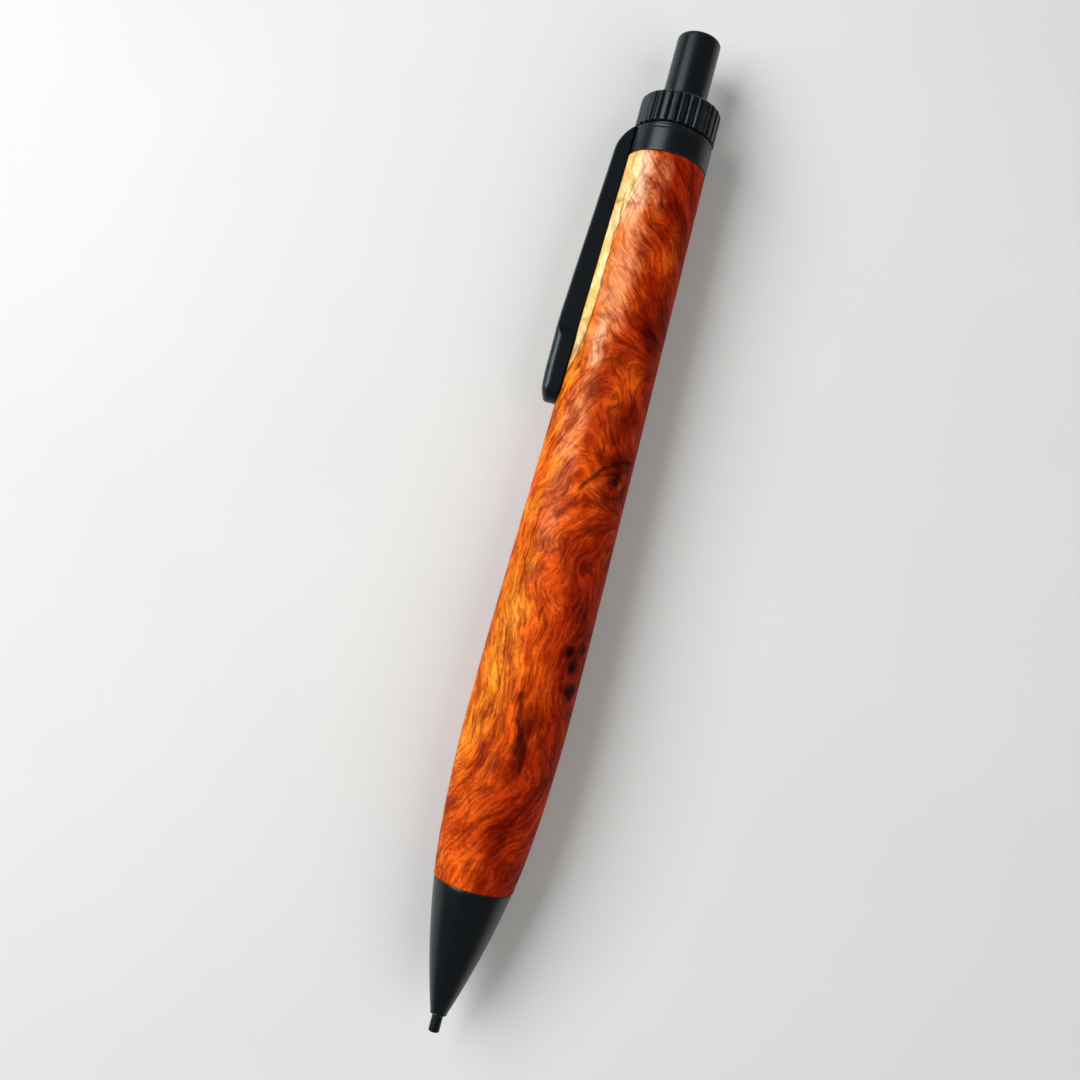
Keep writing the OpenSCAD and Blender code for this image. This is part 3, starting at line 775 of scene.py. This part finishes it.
def build_knurl(metal):
    """The grooved ring and its threaded spigot."""
    bore_r = button_r + 0.05
    undercut_r = knurl_r - 0.45
    lead_in = spigot_x0 + 0.6
    front = soften([
        (spigot_x0, bore_r, 0.1), (spigot_x0, SPIGOT_R, 0.2), (lead_in, SPIGOT_R, 0), (lead_in, bore_r, 0),
    ])
    last = next(i for i, p in enumerate(front) if p[:2] == (lead_in, SPIGOT_R))
    spigot = threaded_run(spigot_x0 + 0.7, knurl_x0 - 1.5)
    head = soften([
        (knurl_x0 - 1, SPIGOT_R, 0), (knurl_x0, SPIGOT_R, 0), (knurl_x0, undercut_r, 0),
        (knurl_x0 + 0.25, undercut_r, 0), (knurl_x0 + 0.45, knurl_r, 0.06), (knurl_x1, knurl_r, 0.5),
        (knurl_x1, bore_r, 0.12), (spigot_x0, bore_r, 0),
    ], arc=9)[:-1]
    near_top = [(x, knurl_r, 0) for x in np.arange(knurl_x0 + 0.9, knurl_x1 - 0.8, 0.5)]
    split = next(i for i, p in enumerate(head) if p[0] > knurl_x0 + 1.2)
    outline = front[:last + 1] + spigot + head[:split] + near_top + head[split:]
    screw = thread(lead_in, knurl_x0 - 2)

    def off_groove(angle):
        """Distance round the ring from the middle of the nearest groove."""
        pitch = TURN / GROOVES
        return np.abs((angle % pitch) - pitch / 2) * knurl_r

    def on_ribs(x, r):
        return (x > knurl_x0 + 0.2) & (r > undercut_r - 0.3)

    # Rim value along each groove edge, painted lighter by the black metal: partly edge wear, partly painted
    # highlight lines between the grooves.
    def wear_and_glint(x, r, angle):
        return np.exp(-((off_groove(angle) - GROOVE_HALF - 0.04) / 0.07) ** 2) * on_ribs(x, r)

    def carve(x, r, angle):
        off = off_groove(angle)
        wall = knurl_r - GROOVE_DEPTH * np.clip(1 - off / GROOVE_HALF, 0, 1) ** 0.85
        wall = wall - 0.05 * np.exp(-((off - GROOVE_HALF) / 0.07) ** 2)
        return np.where(on_ribs(x, r), np.minimum(r, wall), screw(x, r, angle))

    piece = turned("grooved_ring", outline, steps=GROOVES * GROOVE_STEPS, carve=carve, wear_and_glint=wear_and_glint)
    finish_piece(piece, "barrel", metal, "black_metal", "knurled_ring")


def build_button(metal):
    cup_bore, eraser_bore = 2.7, 2.45
    step_x, roof_x = 128.6, button_x1 - 1.2
    outline = soften([
        (button_x0, cup_bore, 0.08), (button_x0, button_r, 0.15), (button_x1 - 1, button_r, 0),
        (button_x1 - 0.9, button_r, 0), (button_x1, button_r, 0.55), (button_x1, 0, 0), (roof_x, 0, 0),
        (roof_x, eraser_bore, 0.3), (step_x, eraser_bore, 0.05), (step_x, cup_bore, 0),
    ], arc=8)
    first = next(i for i, p in enumerate(outline) if p[1] == 0)
    outline = outline[first + 1:] + outline[:first + 1]
    piece = turned("push_cap", outline, steps=160)
    finish_piece(piece, "button", metal, "black_metal", "push_button")


def build_eraser(vinyl, brass):
    x0, x1 = ends("eraser")
    r = outer_r("eraser")
    outline = soften([(x0, 0, 0), (x0, r, 0.1), (x1, r, 0.55), (x1, 0, 0)], arc=8)
    finish_piece(turned("eraser_plug", outline, 96), "eraser", vinyl, "eraser_white", "eraser")
    stem_x0, rim_x = ends("eraser_holder")
    shoulder_x, cup_x = 119.0, 121.0
    stem_bore, stem_r, shoulder_r, cup_r = 1.2, 1.78, 2.3, outer_r("eraser_holder")
    cup_bore, groove_r = r + 0.05, cup_r - 0.12
    outline = soften([
        (stem_x0, stem_bore, 0.08), (stem_x0, stem_r, 0.15), (shoulder_x, stem_r, 0),
        (shoulder_x, shoulder_r, 0.1), (cup_x, shoulder_r, 0), (cup_x, cup_r, 0.25),
        (rim_x - 1.9, cup_r, 0.1), (rim_x - 1.7, groove_r, 0.1),
        (rim_x - 1.3, groove_r, 0.1), (rim_x - 1.1, cup_r, 0.1), (rim_x, cup_r, 0.12), (rim_x, cup_bore, 0.1),
        (cup_x + 1, cup_bore, 0), (cup_x + 1, stem_bore, 0),
    ])
    finish_piece(turned("eraser_cup", outline, 128), "plunger", brass, "brass", "eraser_holder")


def build_mechanism(nickel, brass):
    """The parts that show once the nose cone is off."""
    front_x, rear_x = 5.2, 20
    neck_x, body_x = 9, 15
    neck_r, body_r, rear_r, groove_r = 1.5, 2.6, 2.9, 2.75
    sleeve_bore, lead_bore, washer_bore, jaw_bore, rear_bore = 0.94, 0.5, 1.2, 1.75, 2.05
    skin = [
        (front_x, sleeve_bore, 0.04), (front_x, neck_r, 0.12), (neck_x, neck_r, 0), (neck_x, body_r, 0.15),
        (body_x, body_r, 0), (body_x, rear_r, 0.1), (16.2, rear_r, 0.06), (16.35, groove_r, 0.05),
        (16.7, groove_r, 0.05), (16.85, rear_r, 0.06), (rear_x, rear_r, 0.1), (rear_x, rear_bore, 0.05),
    ]
    steps = ((14, rear_bore, jaw_bore), (9.2, jaw_bore, washer_bore), (7.6, washer_bore, lead_bore),
             (7.25, lead_bore, sleeve_bore))
    bore = [(x, r, 0) for x, wide, narrow in steps for r in (wide, narrow)]
    piece = turned("mechanism_nose", soften(skin + bore), 128)
    finish_piece(piece, "barrel", nickel, "nickel", "mechanism_tip")
    x0, x1 = ends("front_coupler")
    bush_r, bush_bore = 4.23, 3.78
    outline = soften([(x0, bush_bore, 0.2), (x0, bush_r, 0.08), (x1, bush_r, 0.08), (x1, bush_bore, 0.1)])
    finish_piece(turned("front_bush", outline, 128), "barrel", brass, "brass", "front_coupler")


def build_spring(steel):
    """A coil spring with one closed turn at each end."""
    x0, x1 = ends("chuck_spring")
    wire, turns, around, facets = 0.2, 8, 40, 12
    r = outer_r("chuck_spring") - wire
    closed = wire * 2.1
    low, high = x0 + wire, x1 - wire
    pitch = (high - low - 2 * closed) / (turns - 2)
    turn = np.linspace(0, turns, turns * around + 1)
    x = low + closed * np.minimum(turn, 1) + pitch * np.clip(turn - 1, 0, turns - 2)
    x = x + closed * np.clip(turn - turns + 1, 0, 1)
    angle = turn * TURN
    k = np.arange(facets) * TURN / facets
    radius = r + wire * np.cos(k)[None, :]
    points = np.stack([
        x[:, None] + wire * np.sin(k)[None, :],
        radius * np.sin(angle)[:, None],
        -radius * np.cos(angle)[:, None],
    ], -1).reshape(-1, 3)
    faces = grid_faces(len(turn), facets, wrap_columns=True)
    faces.append(list(range(facets)))
    faces.append(list(range(len(points) - facets, len(points))))
    piece = make_piece("return_spring", points, faces, {"rim": np.zeros(len(points))})
    finish_piece(piece, "barrel", steel, "spring_steel", "chuck_spring")
    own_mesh(piece)


# ---------- clip ----------

PADDLE_X = clip_x0 + 10.6
SHOULDER_X = collar_x1 - 3.2
SHOULDER_Y = 7.6
WEB_Y = 5.58

# The bend from the ring to the arm, as a curve of (x, y)
BEND = [(ring_x1, 5.6), (ring_x1 - 0.1, 6.05), (124.0, 7.5), (SHOULDER_X, SHOULDER_Y)]

# Height of the arm's outer face above the axis, as (x, y)
CLIP_FACE = [
    (clip_x0, 8.2), (clip_x0 + 0.8, 8.52), (clip_x0 + 3, 8.76), (clip_x0 + 7, 8.84), (PADDLE_X + 0.6, 8.84),
    (PADDLE_X + 4.8, 8.66), (112, 8.11), (118, 7.81), (SHOULDER_X, SHOULDER_Y),
]
FACE_CORNER = 0.2
PADDLE_CORNER = 1.05
CORNER_STEPS, WALL_STEPS, FACE_STEPS = 8, 4, 10
DIMPLE_X = clip_x0 + 5.3
DIMPLE_R = 1.2
DIMPLE_GAP = 0.05


def clip_y(x):
    """A smooth height through CLIP_FACE."""
    xs, ys = np.array(CLIP_FACE).T
    slopes = np.gradient(ys, xs)
    k = np.clip(np.searchsorted(xs, x) - 1, 0, len(xs) - 2)
    span = xs[k + 1] - xs[k]
    t = np.clip((x - xs[k]) / span, 0, 1)
    a = ys[k] * (1 + 2 * t) * (1 - t) ** 2 + slopes[k] * span * t * (1 - t) ** 2
    return a + ys[k + 1] * t * t * (3 - 2 * t) + slopes[k + 1] * span * t * t * (t - 1)


def clip_low(x):
    """Height of the flanges' lower edge above the axis."""
    return float(np.interp(x, [clip_x0 + 0.35, SHOULDER_X - 1.2, SHOULDER_X - 1], [6.26, 5.57, WEB_Y]))


def clip_stations():
    """Sections from the ring to the paddle, as (x, y, normal x, normal y, half width, flange, corner)."""
    out = []
    for y in np.linspace(4.6, BEND[0][1], 6)[:-1]:
        out.append((ring_x1, y, 1.0, 0.0, CLIP_HALF, 0.02, 0.12))
    path = cubic(*BEND, 28)
    runs = np.gradient(path, axis=0)
    for (x, y), (dx, dy) in zip(path, runs):
        nx, ny = dy / math.hypot(dx, dy), -dx / math.hypot(dx, dy)
        flange = max((y - WEB_Y) / max(ny, 0.35), 0.02)
        out.append((x, y, nx, ny, CLIP_HALF, flange, min(0.12 + 0.1 * flange, FACE_CORNER)))
    for x in np.linspace(SHOULDER_X, PADDLE_X, 64)[1:]:
        y = float(clip_y(x))
        out.append((x, y, 0.0, 1.0, CLIP_HALF, y - clip_low(x), FACE_CORNER))
    for x in np.linspace(PADDLE_X, clip_x0 + paddle_half, 26)[1:]:
        widen = float(smooth((PADDLE_X - x) / 1.5))
        half = CLIP_HALF + (paddle_half - CLIP_HALF) * widen
        y = float(clip_y(x))
        corner = FACE_CORNER + (PADDLE_CORNER - FACE_CORNER) * widen
        out.append((x, y, 0.0, 1.0, half, y - clip_low(x), corner))
    return out


def clip_flank(flange, corner):
    """One side of a section of the clip, from its lower edge to its face, as (inset, drop, rim)."""
    wall = max(flange - corner, 0.0)
    bend = min(corner, max(flange, corner * 0.6)) if flange < corner else corner
    flank = [(0.0, bend + wall * t, 0.0) for t in np.linspace(1, 0, WALL_STEPS + 1)[:-1]]
    for t in np.linspace(math.pi / 2, 0, CORNER_STEPS + 1):
        flank.append((bend * (1 - math.sin(t)), bend * (1 - math.cos(t)), math.sin(2 * t)))
    return flank


def clip_section(x, y, nx, ny, half, flange, corner, along=0.0, aside=1.0):
    """A section of the clip, up one flank, across the face and down the other, as points and rims.

    Its half width is laid off towards (-along, aside) in plan, which sweeps it round the paddle's end.
    """
    flank = clip_flank(flange, corner)
    left, right = (
        [(x - along * (half - inset) - nx * drop, y - ny * drop, side * aside * (half - inset))
         for inset, drop, _ in flank]
        for side in (-1, 1)
    )
    start, end = np.array(left[-1]), np.array(right[-1])
    face = [tuple(start * (1 - t) + end * t) for t in np.linspace(0, 1, FACE_STEPS + 1)[1:-1]]
    rims = [rim for _, _, rim in flank]
    return left + face + right[::-1], rims + [0.0] * len(face) + rims[::-1]


def clip_sheet():
    """The bend, the arm with its flanges and the round-ended paddle, folded from one sheet."""
    sections = [clip_section(*station) for station in clip_stations()]
    end_x = clip_x0 + paddle_half
    for a in np.linspace(0, math.pi / 2, 15)[1:]:
        x = end_x - paddle_half * math.sin(a)
        y = float(clip_y(x))
        corner = PADDLE_CORNER - 0.3 * a
        sections.append(clip_section(
            end_x, y, 0.0, 1.0, paddle_half, y - clip_low(x), corner, math.sin(a), math.cos(a)))
    points = np.array([line for line, _ in sections]).reshape(-1, 3)
    rim = np.array([rims for _, rims in sections]).ravel()
    faces = grid_faces(len(sections), len(sections[0][0]))
    piece = make_piece("pocket_clip", points, faces, {"rim": rim}, sharp=50)
    crest = max(piece.data.polygons, key=lambda face: face.center.y)
    if crest.normal.y < 0:
        piece.data.flip_normals()
    sheet = piece.modifiers.new("sheet", "SOLIDIFY")
    sheet.thickness = CLIP_SHEET * MM
    sheet.offset = -1
    sheet.use_even_offset = False
    return settle(piece)


def clip_ring():
    """The clip's flat ring round the spigot."""
    bore_r, rim_r = SPIGOT_R + 0.05, collar_r - 0.05
    return turned("clip_ring_blank", soften([
        (ring_x0, bore_r, 0.05), (ring_x0, rim_r, 0.08), (ring_x1, rim_r, 0.14), (ring_x1, bore_r, 0.05),
    ]), 160)


def clip_dimple():
    """The ball under the paddle, which rests just off the wood."""
    arc = [(-math.cos(t) * DIMPLE_R, math.sin(t) * DIMPLE_R, 0) for t in np.linspace(0, math.pi, 25)[1:-1]]
    piece = turned("clip_dimple_blank", [(-DIMPLE_R, 0, 0), *arc, (DIMPLE_R, 0, 0)], 48)
    height = barrel_r(DIMPLE_X) + DIMPLE_GAP + DIMPLE_R
    piece.data.transform(Matrix.Translation(Vector((DIMPLE_X, height, 0)) * MM))
    return piece


def build_clip(metal):
    piece = clip_sheet()
    blanks = clip_ring(), clip_dimple()
    for blank in blanks:
        join = piece.modifiers.new("join", "BOOLEAN")
        join.operation = "UNION"
        join.solver = "EXACT"
        join.use_self = True
        join.object = blank
    settle(piece)
    for blank in blanks:
        bpy.data.objects.remove(blank)
    piece.data.shade_smooth()
    piece.data.set_sharp_from_angle(angle=math.radians(38))
    piece.data.materials.clear()
    piece.data.materials.append(metal)
    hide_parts("clip_ring", "clip_arm")
    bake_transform(piece)


# ---------- floor, light and camera ----------

FLOOR_HALF = 900
FLOOR_GAP = 0.02
CAMERA_PLACE = (57.3, 3.4, 154.8)
CAMERA_LEAN = math.radians(15.15)
CAMERA_TILT = math.radians(3.6)
CAMERA_LENS, CAMERA_SENSOR = 37.7, 36


def build_stage():
    """The pale floor that the pencil lies on."""
    points = [(x * FLOOR_HALF, y * FLOOR_HALF, -belly_r - FLOOR_GAP) for x in (-1, 1) for y in (-1, 1)]
    floor = make_piece("floor", points, grid_faces(2, 2))
    g = Graph("pale_floor")
    place = g.place()
    cloud = g.noise(place, 0.02, 3.0)
    tooth = g.noise(place, 1.5, 3.0)
    colour = g.mix(cloud, shade(206, 206, 203), shade(214, 214, 211))
    surface = g.surface(Base_Color=colour, Roughness=0.75, Normal=g.bump(tooth, 0.05, 0.2))
    floor.data.materials.append(surface)
    if floor.data.polygons[0].normal.z < 0:
        floor.data.flip_normals()
    floor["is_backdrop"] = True


def area_light(name, place, aim, width, height, watts, colour):
    data = bpy.data.lights.new(name, "AREA")
    data.shape = "RECTANGLE"
    data.size = width * MM
    data.size_y = height * MM
    data.energy = watts
    data.color = colour
    light = bpy.data.objects.new(name, data)
    light.location = Vector(place) * MM
    light.rotation_euler = (Vector(aim) - Vector(place)).to_track_quat("-Z", "Y").to_euler()
    bpy.context.scene.collection.objects.link(light)
    return light


def build_light():
    """A cool window on the clip's side, a warm fill that polished parts don't mirror, and a faint sky."""
    aim = (70, 0, 0)
    area_light(
        "window", place=(130, 330, 330), aim=aim, width=420, height=320, watts=3.0, colour=(0.95, 0.98, 1.0))
    fill = area_light(
        "fill", place=(30, -300, 380), aim=aim, width=400, height=400, watts=1.0, colour=(1.0, 0.98, 0.95))
    fill.visible_glossy = False
    world = bpy.data.worlds.new("studio")
    world.use_nodes = True
    background = world.node_tree.nodes["Background"]
    background.inputs["Color"].default_value = (0.94, 0.96, 1.0, 1)
    background.inputs["Strength"].default_value = 0.2
    bpy.context.scene.world = world


def build_camera():
    """Looks almost straight down, with the pencil leaning a little to the right."""
    lean, tilt = CAMERA_LEAN, CAMERA_TILT
    data = bpy.data.cameras.new("camera")
    data.lens = CAMERA_LENS
    data.sensor_width = CAMERA_SENSOR
    data.clip_start = 0.005
    camera = bpy.data.objects.new("camera", data)
    back = Vector((-math.sin(tilt), 0, math.cos(tilt)))
    up = Vector((math.cos(tilt) * math.cos(lean), math.sin(lean), math.sin(tilt) * math.cos(lean)))
    right = up.cross(back)
    turn = Matrix((right, up, back)).transposed().to_4x4()
    camera.matrix_world = Matrix.Translation(Vector(CAMERA_PLACE) * MM) @ turn
    bpy.context.scene.collection.objects.link(camera)
    bpy.context.scene.camera = camera


def paint_cad(materials):
    """Materials for the CAD parts that are shown as they are."""
    for node, slot in (
        ("barrel_tube", "brass"), ("rear_coupler", "brass"), ("chuck", "brass"), ("clutch_ring", "brass"),
        ("reservoir_tube", "milky_plastic"), ("mechanism_sleeve", "grey_plastic"),
        ("lead_retainer", "black_rubber"), ("spare_leads", "graphite"),
    ):
        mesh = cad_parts[node].data
        mesh.materials.clear()
        mesh.materials.append(materials[slot])


def main():
    materials = {
        "burl_wood": burl_wood(),
        "black_metal": black_metal(),
        "brass": turned_metal("brass", shade(150, 112, 52), shade(214, 178, 100), 0.16),
        "nickel": turned_metal("nickel", shade(150, 148, 142), shade(206, 204, 198), 0.14),
        "spring_steel": turned_metal("spring_steel", shade(120, 120, 124), shade(190, 190, 194), 0.18),
        "milky_plastic": moulded(
            "milky_plastic", shade(232, 236, 236), shade(212, 218, 220), 0.28, transmission=0.35),
        "grey_plastic": moulded("grey_plastic", shade(150, 152, 154), shade(132, 134, 137), 0.4),
        "black_rubber": moulded("black_rubber", shade(34, 34, 35), shade(26, 26, 27), 0.7),
        "eraser_white": eraser_vinyl(),
        "graphite": graphite(),
    }
    metal = materials["black_metal"]
    build_wood(materials["burl_wood"])
    build_nose(metal)
    build_sleeve(metal, materials["graphite"])
    build_collar(metal)
    build_clip(metal)
    build_knurl(metal)
    build_button(metal)
    build_eraser(materials["eraser_white"], materials["brass"])
    build_mechanism(materials["nickel"], materials["brass"])
    build_spring(materials["spring_steel"])
    paint_cad(materials)
    build_stage()
    build_light()
    build_camera()
    bpy.context.scene.view_settings.view_transform = "Standard"


main()
bpy.context.view_layer.update()
boxes = {"cad": cad_box, "visual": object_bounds()}
boxes = {key: [[float(v) for v in corner] for corner in box] for key, box in boxes.items()}
